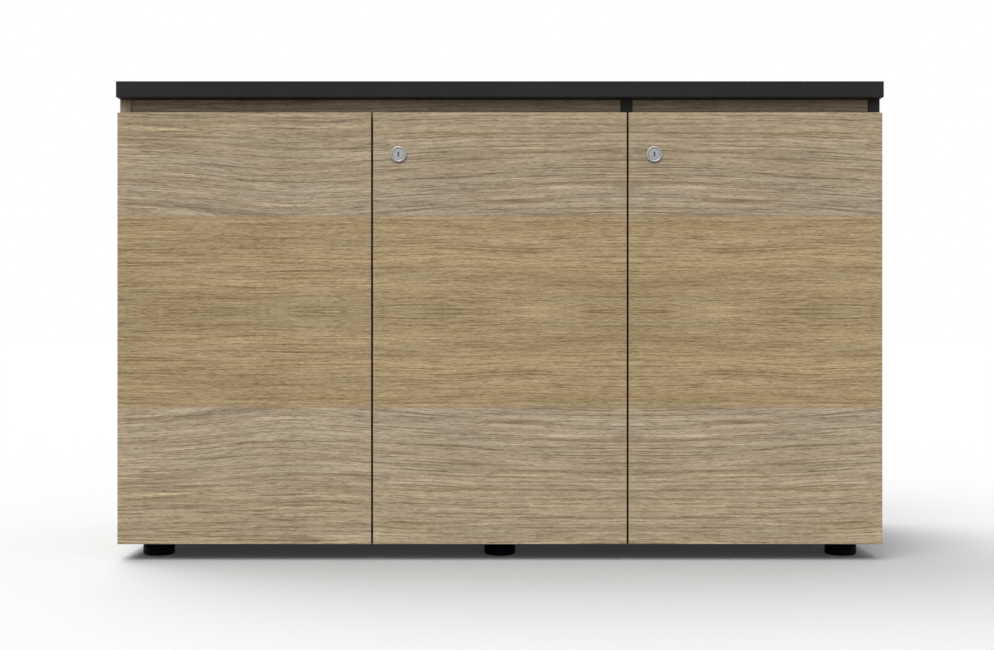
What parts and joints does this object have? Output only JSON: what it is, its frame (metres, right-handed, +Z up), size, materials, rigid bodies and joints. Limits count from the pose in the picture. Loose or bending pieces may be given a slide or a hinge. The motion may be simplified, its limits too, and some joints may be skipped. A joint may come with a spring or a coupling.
{
  "type": "office cupboard",
  "caption": "Low wide office cupboard on round levelling feet, with overlay oak doors on concealed hinges, cam locks, shelves, and a charcoal top over a finger gap.",
  "frame": {"origin": "on the floor, under the middle of the cupboard's overall box", "axes": "+X to the right as one faces the doors, +Y from the doors to the back, +Z up"},
  "size_m": [1.2, 0.45, 0.75],
  "materials": {
    "oak_board": "satin oak wood-grain laminate, grain across the doors",
    "charcoal_board": "matt charcoal laminate with a fine texture",
    "black_nylon": "moulded black nylon",
    "zinc_steel": "bright zinc plate",
    "lock_silver": "satin nickel plate",
    "buffer_rubber": "soft translucent rubber"
  },
  "bodies": {
    "carcass": {"top_panel": "charcoal_board", "left_gable": "oak_board", "right_gable": "charcoal_board", "partition": "charcoal_board", "base_panel": "charcoal_board", "front_rail_left": "oak_board", "front_rail_right": "oak_board", "back_panel_left": "charcoal_board", "back_panel_right": "charcoal_board", "shelf_left": "charcoal_board", "shelf_right": "charcoal_board", "shelf_pins": "zinc_steel", "cam_fittings": "zinc_steel", "cam_bolts": "zinc_steel", "foot_sockets": "zinc_steel", "hinge_plates": "zinc_steel", "plate_screws": "zinc_steel", "arm_screws": "zinc_steel", "hinge_arms_left": "zinc_steel", "hinge_arms_middle": "zinc_steel", "hinge_arms_right": "zinc_steel", "strike_bracket": "zinc_steel", "strike_screws": "zinc_steel"},
    "door_left": {"door_left": "oak_board", "hinge_cups_left": "zinc_steel", "hinge_pins_left": "zinc_steel", "door_screws_left": "zinc_steel", "buffers_left": "buffer_rubber", "lock_keeper": "black_nylon", "bolt_case": "zinc_steel"},
    "door_middle": {"door_middle": "oak_board", "hinge_cups_middle": "zinc_steel", "hinge_pins_middle": "zinc_steel", "door_screws_middle": "zinc_steel", "buffers_middle": "buffer_rubber", "lock_housing_middle": "lock_silver", "lock_nut_middle": "zinc_steel"},
    "door_right": {"door_right": "oak_board", "hinge_cups_right": "zinc_steel", "hinge_pins_right": "zinc_steel", "door_screws_right": "zinc_steel", "buffers_right": "buffer_rubber", "lock_housing_right": "lock_silver", "lock_nut_right": "zinc_steel"},
    "lock_middle": {"lock_plug_middle": "lock_silver", "lock_cam_middle": "zinc_steel", "cam_screw_middle": "zinc_steel"},
    "lock_right": {"lock_plug_right": "lock_silver", "lock_cam_right": "zinc_steel", "cam_screw_right": "zinc_steel"},
    "bolt": {"bolt_rod": "zinc_steel"},
    "foot_front_left": {"foot_front_left": "black_nylon"},
    "foot_front_middle": {"foot_front_middle": "black_nylon"},
    "foot_front_right": {"foot_front_right": "black_nylon"},
    "foot_back_left": {"foot_back_left": "black_nylon"},
    "foot_back_middle": {"foot_back_middle": "black_nylon"},
    "foot_back_right": {"foot_back_right": "black_nylon"}
  },
  "joints": [
    {"name": "left_door_hinge", "type": "hinge", "parent": "carcass", "child": "door_left", "pos_m": [-0.5915, -0.2155, 0.36375], "axis": [0, 0, -1], "range_deg": [0, 95]},
    {"name": "middle_door_hinge", "type": "hinge", "parent": "carcass", "child": "door_middle", "pos_m": [0.1915, -0.2155, 0.36375], "axis": [0, 0, 1], "range_deg": [0, 95]},
    {"name": "right_door_hinge", "type": "hinge", "parent": "carcass", "child": "door_right", "pos_m": [0.5915, -0.2155, 0.36375], "axis": [0, 0, 1], "range_deg": [0, 95]},
    {"name": "middle_lock_turn", "type": "hinge", "parent": "door_middle", "child": "lock_middle", "pos_m": [-0.1585, -0.21, 0.636], "axis": [0, 1, 0], "range_deg": [0, 90]},
    {"name": "right_lock_turn", "type": "hinge", "parent": "door_right", "child": "lock_right", "pos_m": [0.2415, -0.21, 0.636], "axis": [0, 1, 0], "range_deg": [0, 90]},
    {"name": "bolt_slide", "type": "slide", "parent": "door_left", "child": "bolt", "axis": [0, 0, 1], "range_m": [0, 0.012]},
    {"name": "foot_front_left_level", "type": "slide", "parent": "carcass", "child": "foot_front_left", "axis": [0, 0, -1], "range_m": [0, 0.01]},
    {"name": "foot_front_middle_level", "type": "slide", "parent": "carcass", "child": "foot_front_middle", "axis": [0, 0, -1], "range_m": [0, 0.01]},
    {"name": "foot_front_right_level", "type": "slide", "parent": "carcass", "child": "foot_front_right", "axis": [0, 0, -1], "range_m": [0, 0.01]},
    {"name": "foot_back_left_level", "type": "slide", "parent": "carcass", "child": "foot_back_left", "axis": [0, 0, -1], "range_m": [0, 0.01]},
    {"name": "foot_back_middle_level", "type": "slide", "parent": "carcass", "child": "foot_back_middle", "axis": [0, 0, -1], "range_m": [0, 0.01]},
    {"name": "foot_back_right_level", "type": "slide", "parent": "carcass", "child": "foot_back_right", "axis": [0, 0, -1], "range_m": [0, 0.01]}
  ]
}
